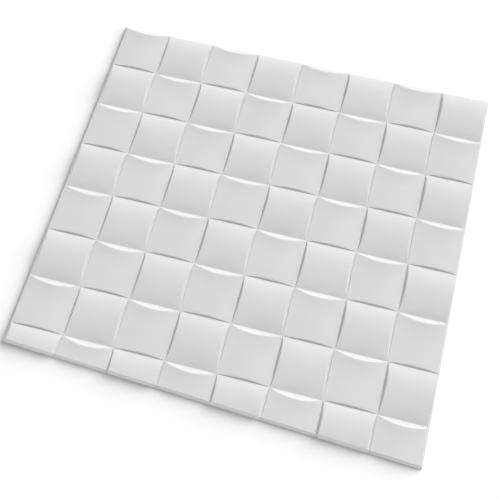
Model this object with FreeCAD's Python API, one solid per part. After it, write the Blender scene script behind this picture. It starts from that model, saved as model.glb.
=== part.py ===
"""Decorative wall panel, cast in one piece: a basket weave of square arched cells on a plain slab.

The panel lies on its flat back. X runs along its width, Y from the trimmed front edge to the back
edge, and Z up through its thickness. The origin is the middle of its box, on the back face.
"""
import FreeCAD, Part
import os
from FreeCAD import Vector

# Weave, in millimetres. Every cell is one visible length of a strip that passes over its neighbours.
COLUMNS = 8
ROWS = 8
CELL = 61.7
SLAB = 5.0

# Strips. Each arches along its length. Its wide side faces the back or the right, and its steep side
# the front or the left.
CROSSWISE_RISE = 2.8
CROSSWISE_WIDE = 6.2
CROSSWISE_STEEP = 2.0
LENGTHWISE_RISE = 3.4
LENGTHWISE_WIDE = 5.2
LENGTHWISE_STEEP = 3.0

# Outline, a little out of square. The front edge is trimmed through the last row and the right edge
# through the last column. The left edge trims the weave at the back and leaves a narrow flat margin
# at the front. All four sides lean out from the rim to the foot, so that the casting leaves its mould.
FRONT_TRIM_RIGHT = 18.4
FRONT_TRIM_LEFT = 39.0
RIGHT_TRIM_BACK = 3.1
RIGHT_TRIM_FRONT = 5.3
LEFT_TRIM_BACK = 1.2
LEFT_MARGIN_FRONT = 3.6
SIDE_FLARE = 3.0


def rim_outline():
    """Wire round the face, with the back left corner of the weave at the origin."""
    width = COLUMNS * CELL
    depth = ROWS * CELL
    corners = [
        Vector(LEFT_TRIM_BACK, 0, 0),
        Vector(width - RIGHT_TRIM_BACK, 0, 0),
        Vector(width - RIGHT_TRIM_FRONT, FRONT_TRIM_RIGHT - depth, 0),
        Vector(-LEFT_MARGIN_FRONT, FRONT_TRIM_LEFT - depth, 0),
    ]
    return Part.makePolygon(corners + corners[:1])


def set_out(wire, distance):
    """The wire moved outwards by a distance, with its corners kept sharp."""
    return wire.makeOffset2D(distance, 2)


def leaning_block(top):
    """A block from the foot to a height, with the panel's leaning sides."""
    foot = set_out(rim_outline(), SIDE_FLARE)
    head = set_out(foot, -SIDE_FLARE * top / SLAB)
    head.translate(Vector(0, 0, top))
    return Part.makeLoft([foot, head], True, True)


def arched_section(rise):
    """Section along a strip: a slab with a shallow arch on it, one cell long."""
    start = Vector(0, 0, SLAB)
    crown = Vector(CELL / 2, 0, SLAB + rise)
    end = Vector(CELL, 0, SLAB)
    arch = Part.Arc(start, crown, end).toShape()
    base = Part.makePolygon([end, Vector(CELL, 0, 0), Vector(0, 0, 0), start])
    return Part.Face(Part.Wire([arch] + base.Edges))


def sloped_section(rise, wide, steep):
    """Section across a strip: flat on top, with a steep front side and a wider back side."""
    top = SLAB + rise
    corners = [
        Vector(0, 0, 0),
        Vector(0, CELL, 0),
        Vector(0, CELL, SLAB),
        Vector(0, CELL - wide, top),
        Vector(0, steep, top),
        Vector(0, 0, SLAB),
    ]
    return Part.Face(Part.makePolygon(corners + corners[:1]))


def strip_cell(rise, wide, steep):
    """One cell of a strip that runs along X, centred on the origin."""
    along = arched_section(rise).extrude(Vector(0, CELL, 0))
    across = sloped_section(rise, wide, steep).extrude(Vector(CELL, 0, 0))
    cell = along.common(across)
    cell.translate(Vector(-CELL / 2, -CELL / 2, 0))
    return cell


def woven_cells():
    """The cells in rows from the back edge and columns from the left edge, turned in alternation."""
    crosswise = strip_cell(CROSSWISE_RISE, CROSSWISE_WIDE, CROSSWISE_STEEP)
    lengthwise = strip_cell(LENGTHWISE_RISE, LENGTHWISE_WIDE, LENGTHWISE_STEEP)
    lengthwise.rotate(Vector(0, 0, 0), Vector(0, 0, 1), -90)
    patterns = [crosswise, lengthwise]
    cells = []
    for row in range(ROWS):
        for column in range(COLUMNS):
            cell = patterns[(row + column) % 2].copy()
            cell.translate(CELL * Vector(column + 0.5, -row - 0.5, 0))
            cells.append(cell)
    return cells


def wall_panel():
    weave = leaning_block(SLAB).multiFuse(woven_cells())
    envelope = leaning_block(SLAB + max(CROSSWISE_RISE, LENGTHWISE_RISE))
    casting = weave.common(envelope).removeSplitter()
    middle = casting.BoundBox.Center
    casting.translate(Vector(-middle.x, -middle.y, 0))
    return casting


os.makedirs("parts", exist_ok=True)
panel = wall_panel()
print("solids", len(panel.Solids), "valid", panel.isValid(), "faces", len(panel.Faces))
print("volume in litres", round(panel.Volume / 1e6, 3), "box", panel.BoundBox)
panel.Solids[0].exportStep("parts/wall_panel.step")
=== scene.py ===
# %% [markdown]
# # A basket-weave wall panel in white plaster
# The real object is one casting: a thin slab whose face looks like wide strips woven over and under each
# other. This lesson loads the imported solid, models a finer version of its face, gives it a plaster finish
# and lights it on a pale floor. Everything is in metres, in the solid's own frame: X along the width, Y
# towards the back edge, Z up out of the face.

# %% Load the solid
import math
import bmesh
import bpy
from mathutils import Matrix, Vector


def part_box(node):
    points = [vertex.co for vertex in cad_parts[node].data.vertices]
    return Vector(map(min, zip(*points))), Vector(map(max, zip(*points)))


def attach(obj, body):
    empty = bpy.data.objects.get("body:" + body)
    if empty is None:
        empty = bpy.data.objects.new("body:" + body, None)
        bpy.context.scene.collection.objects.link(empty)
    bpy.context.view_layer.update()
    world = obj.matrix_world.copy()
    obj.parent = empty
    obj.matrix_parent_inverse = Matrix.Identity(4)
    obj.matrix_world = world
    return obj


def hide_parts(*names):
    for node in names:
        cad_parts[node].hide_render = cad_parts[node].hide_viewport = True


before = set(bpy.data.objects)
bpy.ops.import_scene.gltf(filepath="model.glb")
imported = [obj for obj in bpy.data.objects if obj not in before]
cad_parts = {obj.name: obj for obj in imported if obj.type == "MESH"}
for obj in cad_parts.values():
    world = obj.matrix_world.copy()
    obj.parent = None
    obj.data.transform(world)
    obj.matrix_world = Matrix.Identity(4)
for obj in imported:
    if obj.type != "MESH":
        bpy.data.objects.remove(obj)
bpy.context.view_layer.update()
low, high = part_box("wall_panel")
print("the solid spans", [round(1000 * side, 1) for side in high - low], "mm")

# %% [markdown]
# ## The sizes of the weave
# Eight columns of square cells cross the panel. Each cell is the stretch of strip that shows between two
# crossings. The strips that run across the panel arch a little less than the ones that run along it. The
# sizes could be read off the solid's faces, but a weave is easier to follow when its few dimensions stand
# here by name. The height still comes from the solid's box.

# %% Name the sizes
COLUMNS = 8
ROWS = 8
CELL = 0.0617
SLAB = 0.0050
CROSSWISE_RISE = 0.0016
LENGTHWISE_RISE = high.z - SLAB
print("one cell is", round(1000 * CELL, 1), "mm square, and the crossings lie", 1000 * SLAB, "mm up")

# %% [markdown]
# ## The section of a side
# A strip has a slope along each of its two sides. One is wide and catches the light, the other is steep
# and falls into shade. Where the mould was sharp the slope meets its neighbour in a small crease, and the
# shoulder at the top is rounded. A bevel could round it, but it would also cut the pointed ends of the
# slope, so the section is drawn here as a short list of rows and the strip's mesh will follow it.

# %% Draw the section of a side
CREASE_RUN = 0.0008
SHOULDER = 0.0008
SHOULDER_STEPS = 4


def side_rows(run, rise, crease=0.0, hollow=0.0):
    """Section of one side at the crown, from the strip's edge inwards: distance in, and height."""
    edge = Vector((0, 0))
    foot = Vector((CREASE_RUN, -crease)) if crease else edge
    crest = Vector((run, rise))
    waist = foot.lerp(crest, 0.5) - Vector((0, hollow))
    start = crest + SHOULDER * (waist - crest).normalized()
    end = crest + Vector((SHOULDER, 0))
    rows = [edge, foot, waist] if crease else [edge, waist]
    for step in range(SHOULDER_STEPS + 1):
        part = step / SHOULDER_STEPS
        rows.append(start.lerp(crest, part).lerp(crest.lerp(end, part), part))
    return rows


print("a creased side has", len(side_rows(0.005, 0.003, crease=0.001)), "rows")

# %% [markdown]
# ## One strip
# A strip could be a subdivided cube with its top pulled up, but its steep sides would then shade badly. A
# flat grid is a better start: its columns become stations along the strip, and its rows run up one side,
# over the shoulder, across the top and down the other side. At its two ends the arch has no height, so
# the side rows close to a point there, and the doubles are merged. The crown can lean to one end, and a
# taper below 1 keeps the steep side and the creases wide for longer.

# %% Shape a strip
STATIONS = 24
DISH_START = 0.6
STRIP_WELD = 1e-6


def arch(along, rise, lean=0.0):
    """Height of a round arch along the strip, from 0 at its ends to 1 at its crown, which can lean to -X."""
    radius = (CELL ** 2 / 4 + rise ** 2) / (2 * rise)
    height = (math.sqrt(radius ** 2 - along ** 2) - radius + rise) / rise
    return height * (1 - 2 * lean * along / CELL) / (1 + lean ** 2 / 4)


def make_strip(steep, wide, lean=0.0, taper=1.0):
    """One cell of strip along X, with its steep side at -Y and its wide side at +Y."""
    rows = len(steep) + STATIONS + len(wide) - 2
    strip = bmesh.new()
    bmesh.ops.create_grid(strip, x_segments=STATIONS, y_segments=rows, size=0.5)
    for vert in strip.verts:
        along = vert.co.x * CELL
        lift = arch(along, steep[-1].y, lean)
        narrowing = lift ** taper
        row = round((vert.co.y + 0.5) * rows)
        front = narrowing * steep[min(row, len(steep) - 1)].x - CELL / 2
        back = CELL / 2 - lift * wide[min(rows - row, len(wide) - 1)].x
        part = min(max((row - len(steep) + 1) / STATIONS, 0), 1)
        if part == 0:
            height = steep[row].y
        elif part == 1:
            height = wide[rows - row].y
        else:
            dish = max(part - DISH_START, 0) / (1 - DISH_START)
            height = steep[-1].y + (wide[-1].y - steep[-1].y) * dish ** 2
        height *= lift if height > 0 else narrowing
        vert.co = (along, front + (back - front) * part, SLAB + height)
    bmesh.ops.remove_doubles(strip, verts=strip.verts, dist=STRIP_WELD)
    return strip


crown = LENGTHWISE_RISE * arch(0, LENGTHWISE_RISE)
print("the crown of a lengthwise strip is", round(1000 * crown, 2), "mm high")

# %% [markdown]
# ## The two kinds of strip
# The crosswise strips have a smooth, slightly hollow back slope that ends in a raised lip, so that a
# bright crescent runs along it. The lengthwise ones have a crease at the foot of both sides and a crown
# that leans to the back, and they are turned a quarter. Both kinds could be shaped by hand. One function
# with two sets of sizes keeps their edges alike.

# %% Make the two kinds of strip
CROSSWISE_WIDE = 0.0062
CROSSWISE_STEEP = 0.0022
CROSSWISE_HOLLOW = 0.00055
CROSSWISE_LIP = 0.0013
LENGTHWISE_WIDE = 0.0040
LENGTHWISE_STEEP = 0.0030
LENGTHWISE_LEFT_CREASE = 0.0017
LENGTHWISE_RIGHT_CREASE = 0.0012
LENGTHWISE_LEAN = 0.3
LENGTHWISE_TAPER = 0.5
QUARTER_TURN = Matrix.Rotation(-math.pi / 2, 3, "Z")

crosswise = make_strip(
    side_rows(CROSSWISE_STEEP, CROSSWISE_RISE),
    side_rows(CROSSWISE_WIDE, CROSSWISE_RISE + CROSSWISE_LIP, hollow=CROSSWISE_HOLLOW))
lengthwise = make_strip(
    side_rows(LENGTHWISE_STEEP, LENGTHWISE_RISE, crease=LENGTHWISE_LEFT_CREASE),
    side_rows(LENGTHWISE_WIDE, LENGTHWISE_RISE, crease=LENGTHWISE_RIGHT_CREASE),
    LENGTHWISE_LEAN, LENGTHWISE_TAPER)
bmesh.ops.rotate(lengthwise, verts=lengthwise.verts, cent=(0, 0, 0), matrix=QUARTER_TURN)
print("a crosswise strip has", len(crosswise.faces), "faces, a lengthwise one", len(lengthwise.faces))

# %% [markdown]
# ## Weaving the face
# The cells lie in a checkerboard: a strip along X, then one along Y. Copies of the two strips are moved
# into place and welded where their edges meet. An array modifier could lay out one kind of cell, but two
# passes of it would leave the seams between the kinds open.

# %% Lay out the cells
SEAM_WELD = 1e-5


def strip_mesh(strip, name):
    """The strip as a mesh that can be copied into another bmesh."""
    mesh = bpy.data.meshes.new(name)
    strip.to_mesh(mesh)
    strip.free()
    return mesh


patterns = [strip_mesh(crosswise, "crosswise"), strip_mesh(lengthwise, "lengthwise")]
panel = bmesh.new()
for row in range(ROWS):
    for column in range(COLUMNS):
        first = len(panel.verts)
        panel.from_mesh(patterns[(row + column) % 2])
        middle = CELL * Vector((column + 0.5, -row - 0.5, 0))
        bmesh.ops.translate(panel, verts=panel.verts[first:], vec=middle)
bmesh.ops.remove_doubles(panel, verts=panel.verts, dist=SEAM_WELD)
for mesh in patterns:
    bpy.data.meshes.remove(mesh)
print("the weave has", COLUMNS, "columns,", ROWS, "rows and", len(panel.faces), "faces")

# %% [markdown]
# ## Widening the first column
# The left edge is not quite parallel to the weave, and yet the first column reaches it everywhere: its
# cells grow a little wider towards the front. Its points are moved sideways in proportion to their
# distance from the second column, to a hair past the edge, so that the cut below runs along the bottom of
# the crease at the foot of the steep sides. A lattice could bend the column as well, but this takes one
# line.

# %% Widen the first column
FRONT_TRIM_LEFT = 0.0407
LEFT_TRIM_BACK = 0.0027
LEFT_MARGIN_FRONT = 0.0021

left_length = ROWS * CELL - FRONT_TRIM_LEFT
for vert in panel.verts:
    if vert.co.x < CELL:
        margin = -LEFT_TRIM_BACK - (LEFT_TRIM_BACK + LEFT_MARGIN_FRONT) * vert.co.y / left_length
        vert.co.x -= (margin + CREASE_RUN) * (1 - vert.co.x / CELL)
print("the first column is", round(1000 * (CELL + LEFT_MARGIN_FRONT), 1), "mm wide at the front")

# %% [markdown]
# ## Trimming the sheet
# The front edge runs through the last row, the right edge through the last column and the left edge along
# the first one, all a little out of square. A bisect whose outer side is cleared is the saw, and it cuts
# straight down through the sheet. A boolean with a turned box would do the same, but tends to leave thin
# faces along the arches.

# %% Trim the sheet
FRONT_TRIM_RIGHT = 0.0183
RIGHT_TRIM_BACK = 0.0031
RIGHT_TRIM_FRONT = 0.0053
SAW_SNAP = 1e-7

back_right = Vector((COLUMNS * CELL - RIGHT_TRIM_BACK, 0, SLAB))
front_right = Vector((COLUMNS * CELL - RIGHT_TRIM_FRONT, FRONT_TRIM_RIGHT - ROWS * CELL, SLAB))
front_left = Vector((-LEFT_MARGIN_FRONT, FRONT_TRIM_LEFT - ROWS * CELL, SLAB))
back_left = Vector((LEFT_TRIM_BACK, 0, SLAB))
for start, end in ((back_right, front_right), (front_right, front_left), (front_left, back_left)):
    outward = Vector((start.y - end.y, end.x - start.x, 0)).normalized()
    everything = panel.verts[:] + panel.edges[:] + panel.faces[:]
    bmesh.ops.bisect_plane(panel, geom=everything, dist=SAW_SNAP, plane_co=start, plane_no=outward,
                           clear_outer=True)
print("the front edge is", round(1000 * (front_right - front_left).length, 1), "mm long")

# %% [markdown]
# ## The sides and the back
# The sides lean out from the rim, so that the casting leaves its mould, and their lower edge is rubbed
# round before the panel leaves the workshop. That leaves a fine gap at the floor, which shows as a dark
# line under the front edge. The section of a side is a short list of points. For each of them the open
# rim is extruded, widened and laid flat at its height. One face closes the back. A Solidify modifier would
# also give thickness, but with the weave's relief on the back too.

# %% Draw the sides
SIDE_FLARE = 0.0030
FOOT_EASE = 0.0022
FOOT_BULGE = 0.0002
BULGE_SHARE = 0.67
TUCK_SHARE = 0.30

ease_out = SIDE_FLARE - 2 * FOOT_BULGE
side_section = [(ease_out, FOOT_EASE), (ease_out + FOOT_BULGE, BULGE_SHARE * FOOT_EASE),
                (ease_out, TUCK_SHARE * FOOT_EASE), (ease_out - TUCK_SHARE * FOOT_EASE, 0)]
rim_points = [edge.verts[0].co for edge in panel.edges if edge.is_boundary]
rim_low = Vector([min(point[axis] for point in rim_points) for axis in (0, 1)])
rim_high = Vector([max(point[axis] for point in rim_points) for axis in (0, 1)])
rim_half = (rim_high - rim_low) / 2
to_middle = Matrix.Translation(-((rim_low + rim_high) / 2).to_3d())
reach = 0.0
for out, height in side_section:
    rim = [edge for edge in panel.edges if edge.is_boundary]
    sides = bmesh.ops.extrude_edge_only(panel, edges=rim)["geom"]
    ring = [item for item in sides if isinstance(item, bmesh.types.BMVert)]
    widen = [(half + out) / (half + reach) for half in rim_half]
    bmesh.ops.scale(panel, verts=ring, vec=(*widen, 0), space=to_middle)
    bmesh.ops.translate(panel, verts=ring, vec=(0, 0, height))
    reach = out
bmesh.ops.contextual_create(panel, geom=[edge for edge in panel.edges if edge.is_boundary])
bmesh.ops.recalc_face_normals(panel, faces=panel.faces)
print("open edges:", sum(edge.is_boundary for edge in panel.edges),
      "volume:", round(1000 * panel.calc_volume(), 3), "litres")

# %% [markdown]
# ## Laying the panel in place
# So far the back left corner of the weave has been the origin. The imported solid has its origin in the
# middle. Its back and right sides stand out beyond the rim by the flare, which tells where the corner of
# the weave goes.

# %% Lay the panel in place
weave_corner = Vector((high.x - SIDE_FLARE - back_right.x, high.y - SIDE_FLARE, 0))
bmesh.ops.translate(panel, verts=panel.verts, vec=weave_corner)
print("the back left corner of the weave lies at", [round(1000 * side, 1) for side in weave_corner], "mm")

# %% [markdown]
# ## From bmesh to object
# Shade smooth rounds the arches, and every edge that turns by more than a given angle is marked sharp, so
# that creases and corners stay crisp. Marking them by hand would allow finer choices, but one angle tells
# creases from arches here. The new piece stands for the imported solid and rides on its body.

# %% Make the panel object
SHARP_ANGLE = math.radians(20)

panel_mesh = bpy.data.meshes.new("woven_wall_panel")
panel.to_mesh(panel_mesh)
panel.free()
panel_mesh.shade_smooth()
panel_mesh.set_sharp_from_angle(angle=SHARP_ANGLE)
wall_panel = bpy.data.objects.new("woven_wall_panel", panel_mesh)
bpy.context.scene.collection.objects.link(wall_panel)
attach(wall_panel, "root")
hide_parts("wall_panel")
print("the panel has", len(panel_mesh.polygons), "faces")

# %% [markdown]
# ## White plaster
# Cast plaster is matt and nearly white. Its gloss is the same all over, so specular is set on the shader
# itself. A small helper makes nodes with their inputs filled in, because every layer below needs a few.

# %% Start the plaster
PLASTER_SPECULAR = 0.3


def add_node(tree, kind, **values):
    """A new node with the named inputs set."""
    node = tree.nodes.new(kind)
    for name, value in values.items():
        node.inputs[name.replace("_", " ").title()].default_value = value
    return node


plaster = bpy.data.materials.new("cast_plaster")
plaster.use_nodes = True
plaster_tree = plaster.node_tree
plaster_shader = plaster_tree.nodes["Principled BSDF"]
plaster_shader.inputs["Specular IOR Level"].default_value = PLASTER_SPECULAR
place = plaster_tree.nodes.new("ShaderNodeTexCoord").outputs["Object"]
panel_mesh.materials.append(plaster)
print("the panel is painted with", panel_mesh.materials[0].name)

# %% [markdown]
# ### Clouds in the colour
# Plaster dries unevenly, which leaves faint clouds about as wide as a cell. A noise texture on Object
# coordinates is fixed to the panel, and a ramp maps it between two whites that differ by a hair. Painting
# the clouds by hand would look the same from here but would need an image file.

# %% Cloud the colour
PLASTER_WHITE = 0.685
PLASTER_CLOUD = 0.665
CLOUDS_PER_METRE = 14
CLOUD_START = 0.35
CLOUD_END = 0.60

clouds = add_node(plaster_tree, "ShaderNodeTexNoise", scale=CLOUDS_PER_METRE, detail=4)
whites = plaster_tree.nodes.new("ShaderNodeValToRGB")
whites.color_ramp.elements[0].position = CLOUD_START
whites.color_ramp.elements[0].color = (PLASTER_CLOUD, PLASTER_CLOUD, PLASTER_CLOUD, 1)
whites.color_ramp.elements[1].position = CLOUD_END
whites.color_ramp.elements[1].color = (PLASTER_WHITE, PLASTER_WHITE, PLASTER_WHITE, 1)
plaster_tree.links.new(place, clouds.inputs["Vector"])
plaster_tree.links.new(clouds.outputs["Fac"], whites.inputs["Fac"])
plaster_tree.links.new(whites.outputs["Color"], plaster_shader.inputs["Base Color"])
print("the white varies from", PLASTER_CLOUD, "to", PLASTER_WHITE)

# %% [markdown]
# ### A sheen that comes and goes
# Where the plaster lay against the smooth mould it is a little less matt. A finer noise drives the
# roughness between two values, which shows only where light grazes the face.

# %% Vary the roughness
SMOOTHEST = 0.62
ROUGHEST = 0.80
PATCHES_PER_METRE = 45
PATCH_LOW = 0.3
PATCH_HIGH = 0.7

patches = add_node(plaster_tree, "ShaderNodeTexNoise", scale=PATCHES_PER_METRE, detail=3)
roughness = add_node(plaster_tree, "ShaderNodeMapRange", from_min=PATCH_LOW, from_max=PATCH_HIGH,
                     to_min=SMOOTHEST, to_max=ROUGHEST)
plaster_tree.links.new(place, patches.inputs["Vector"])
plaster_tree.links.new(patches.outputs["Fac"], roughness.inputs["Value"])
plaster_tree.links.new(roughness.outputs["Result"], plaster_shader.inputs["Roughness"])
print("the roughness varies from", SMOOTHEST, "to", ROUGHEST)

# %% [markdown]
# ### Pinholes
# Here and there an air bubble met the mould and left a pinhole. Holes that small could be cut into the
# mesh, but they would need millions of faces. A Voronoi texture gives every cell a centre for a hole and a
# random colour, and only cells with a high colour get one.

# %% Prick the pinholes
PINHOLES_PER_METRE = 130
PINHOLE_REACH = 0.09
PINHOLE_SHARE = 0.15

bubbles = add_node(plaster_tree, "ShaderNodeTexVoronoi", scale=PINHOLES_PER_METRE)
hole = add_node(plaster_tree, "ShaderNodeMapRange", from_min=0, from_max=PINHOLE_REACH, to_min=1, to_max=0)
colour_parts = plaster_tree.nodes.new("ShaderNodeSeparateColor")
chosen = plaster_tree.nodes.new("ShaderNodeMath")
chosen.operation = "GREATER_THAN"
chosen.inputs[1].default_value = 1 - PINHOLE_SHARE
pinholes = plaster_tree.nodes.new("ShaderNodeMath")
pinholes.operation = "MULTIPLY"
plaster_tree.links.new(place, bubbles.inputs["Vector"])
plaster_tree.links.new(bubbles.outputs["Distance"], hole.inputs["Value"])
plaster_tree.links.new(bubbles.outputs["Color"], colour_parts.inputs["Color"])
plaster_tree.links.new(colour_parts.outputs["Red"], chosen.inputs[0])
plaster_tree.links.new(hole.outputs["Result"], pinholes.inputs[0])
plaster_tree.links.new(chosen.outputs["Value"], pinholes.inputs[1])
print("a pinhole is about", round(2000 * PINHOLE_REACH / PINHOLES_PER_METRE, 1), "mm wide")

# %% [markdown]
# ### Grain
# Up close the surface has a fine grain. It is far too small to model, so it bends the shading through a
# Bump node, and the pinholes are taken off the same height. Displacement would move the surface itself,
# which nobody sees at this size.

# %% Raise the grain
GRAIN_PER_METRE = 900
GRAIN_HEIGHT = 0.12
RELIEF_DEPTH = 0.0003

grain = add_node(plaster_tree, "ShaderNodeTexNoise", scale=GRAIN_PER_METRE, detail=2)
depth = plaster_tree.nodes.new("ShaderNodeMath")
depth.operation = "MULTIPLY"
depth.inputs[1].default_value = -1
surface = plaster_tree.nodes.new("ShaderNodeMath")
surface.operation = "MULTIPLY_ADD"
surface.inputs[1].default_value = GRAIN_HEIGHT
bump = add_node(plaster_tree, "ShaderNodeBump", distance=RELIEF_DEPTH)
plaster_tree.links.new(place, grain.inputs["Vector"])
plaster_tree.links.new(pinholes.outputs["Value"], depth.inputs[0])
plaster_tree.links.new(grain.outputs["Fac"], surface.inputs[0])
plaster_tree.links.new(depth.outputs["Value"], surface.inputs[2])
plaster_tree.links.new(surface.outputs["Value"], bump.inputs["Height"])
plaster_tree.links.new(bump.outputs["Normal"], plaster_shader.inputs["Normal"])
print("the pinholes reach", round(1000 * RELIEF_DEPTH, 2), "mm deep")

# %% [markdown]
# ## The floor
# The panel lies on a plain white floor that shows its shadow. A curved backdrop would hide a horizon, but
# the camera sees the sky just as white, so a plane is all it takes.

# %% Lay the floor
FLOOR_SIZE = 6.0

floor_plane = bmesh.new()
bmesh.ops.create_grid(floor_plane, x_segments=1, y_segments=1, size=FLOOR_SIZE / 2)
floor_mesh = bpy.data.meshes.new("floor")
floor_plane.to_mesh(floor_mesh)
floor_plane.free()
floor = bpy.data.objects.new("floor", floor_mesh)
bpy.context.scene.collection.objects.link(floor)
print("the floor is", FLOOR_SIZE, "m wide")

# %% [markdown]
# ### Floor paint
# The floor is matt and nearly white. It glows a little, but only for rays that come from the camera or
# from something shiny: Light Path tells those apart, so the glow puts no light on the panel. More light on
# the floor would also lift it to white, but would wash out the soft end of its shadow.

# %% Paint the floor
FLOOR_WHITE = 0.95
FLOOR_GLOW = 0.01


def seen_directly(tree, otherwise, seen):
    """A value for rays from the camera, from gloss or through glass, and another one for the rest."""
    rays = tree.nodes.new("ShaderNodeLightPath")
    camera_or_gloss = tree.nodes.new("ShaderNodeMath")
    any_of_three = tree.nodes.new("ShaderNodeMath")
    choice = add_node(tree, "ShaderNodeMapRange", to_min=otherwise, to_max=seen)
    tree.links.new(rays.outputs["Is Camera Ray"], camera_or_gloss.inputs[0])
    tree.links.new(rays.outputs["Is Glossy Ray"], camera_or_gloss.inputs[1])
    tree.links.new(camera_or_gloss.outputs["Value"], any_of_three.inputs[0])
    tree.links.new(rays.outputs["Is Transmission Ray"], any_of_three.inputs[1])
    tree.links.new(any_of_three.outputs["Value"], choice.inputs["Value"])
    return choice.outputs["Result"]


floor_paint = bpy.data.materials.new("floor_paint")
floor_paint.use_nodes = True
floor_tree = floor_paint.node_tree
floor_shader = floor_tree.nodes["Principled BSDF"]
floor_shader.inputs["Base Color"].default_value = (FLOOR_WHITE, FLOOR_WHITE, FLOOR_WHITE, 1)
floor_shader.inputs["Roughness"].default_value = 1.0
floor_shader.inputs["Specular IOR Level"].default_value = 0.0
floor_shader.inputs["Emission Color"].default_value = (1, 1, 1, 1)
floor_tree.links.new(seen_directly(floor_tree, 0, FLOOR_GLOW), floor_shader.inputs["Emission Strength"])
floor_mesh.materials.append(floor_paint)
print("the floor returns", FLOOR_WHITE, "of its light and glows by", FLOOR_GLOW)

# %% [markdown]
# ## The lamps
# The relief is so shallow that it shows only under light from one side. A broad key light stands behind
# the panel and a little to the right: the crescents turn towards it and the steep sides away from it. A
# low fill light skims in from the front, which lifts those steep sides and the front edge without
# flattening the arches. The floor has a still broader lamp of its own, so that a soft shadow lies along
# the front and the left side. Light linking keeps each lamp to what it is meant for. Area lamps would
# work too, but a distant lamp lights every cell alike.

# %% Hang the lamps
KEY_AZIMUTH = 21
KEY_ELEVATION = 34
KEY_SPREAD = 60
KEY_LEVEL = 0.68
FILL_AZIMUTH = 190
FILL_ELEVATION = 5
FILL_SPREAD = 8
FILL_LEVEL = 0.028
FLOOR_LAMP_AZIMUTH = 49
FLOOR_LAMP_ELEVATION = 18
FLOOR_LAMP_SPREAD = 60
FLOOR_LAMP_LEVEL = 0.74


def add_lamp(name, azimuth, elevation, spread, level, lit):
    """A distant lamp for one object, azimuth from +Y to +X. White card on the floor returns the level."""
    lamp = bpy.data.lights.new(name, "SUN")
    lamp.angle = math.radians(spread)
    lamp.energy = level * math.pi / math.sin(math.radians(elevation))
    light = bpy.data.objects.new(name, lamp)
    light.rotation_euler = (math.radians(90 - elevation), 0, math.radians(180 - azimuth))
    light.light_linking.receiver_collection = bpy.data.collections.new(name + "_receivers")
    light.light_linking.receiver_collection.objects.link(lit)
    bpy.context.scene.collection.objects.link(light)
    print(name, "gives", round(lamp.energy, 2), "W per square metre to the", lit.name)


add_lamp("key", KEY_AZIMUTH, KEY_ELEVATION, KEY_SPREAD, KEY_LEVEL, wall_panel)
add_lamp("fill", FILL_AZIMUTH, FILL_ELEVATION, FILL_SPREAD, FILL_LEVEL, wall_panel)
add_lamp("floor_lamp", FLOOR_LAMP_AZIMUTH, FLOOR_LAMP_ELEVATION, FLOOR_LAMP_SPREAD, FLOOR_LAMP_LEVEL,
         floor)

# %% [markdown]
# ## The sky
# The rest of the light comes from a dim, even sky, which fills the shadows. The camera itself sees plain
# white in its place, through the same Light Path choice as on the floor.

# %% Light the sky
SKY_LEVEL = 0.30

sky = bpy.data.worlds.new("studio")
sky.use_nodes = True
backdrop = sky.node_tree.nodes["Background"]
backdrop.inputs["Color"].default_value = (1, 1, 1, 1)
sky.node_tree.links.new(seen_directly(sky.node_tree, SKY_LEVEL, 1), backdrop.inputs["Strength"])
bpy.context.scene.world = sky
print("the lamp and the sky together light the floor to", round(FLOOR_LAMP_LEVEL + SKY_LEVEL, 2))

# %% [markdown]
# ## The camera
# The panel is seen from the front right, about two thirds of the way up to straight above. Aiming the
# camera with a constraint would be enough for a rough view. A given place, two angles and a slight roll
# set the view exactly.

# %% Place the camera
CAMERA_PLACE = Vector((0.1102, -0.4037, 0.9300))
CAMERA_AZIMUTH = math.radians(-16.489)
CAMERA_ELEVATION = math.radians(67.575)
CAMERA_ROLL = math.radians(-2.122)
LENS = 59.86
SENSOR = 36.0

ahead = Vector((math.sin(CAMERA_AZIMUTH) * math.cos(CAMERA_ELEVATION),
                math.cos(CAMERA_AZIMUTH) * math.cos(CAMERA_ELEVATION),
                -math.sin(CAMERA_ELEVATION)))
camera_data = bpy.data.cameras.new("camera")
camera_data.lens = LENS
camera_data.sensor_width = SENSOR
camera = bpy.data.objects.new("camera", camera_data)
camera.location = CAMERA_PLACE
turn = ahead.to_track_quat("-Z", "Y") @ Matrix.Rotation(CAMERA_ROLL, 4, "Z").to_quaternion()
camera.rotation_euler = turn.to_euler()
bpy.context.scene.collection.objects.link(camera)
bpy.context.scene.camera = camera
print("the camera is", round(CAMERA_PLACE.length, 3), "m from the panel")

# %% [markdown]
# ## Finishing
# The Standard view transform shows colours as they are written.

# %% Set the view
bpy.context.scene.view_settings.view_transform = "Standard"
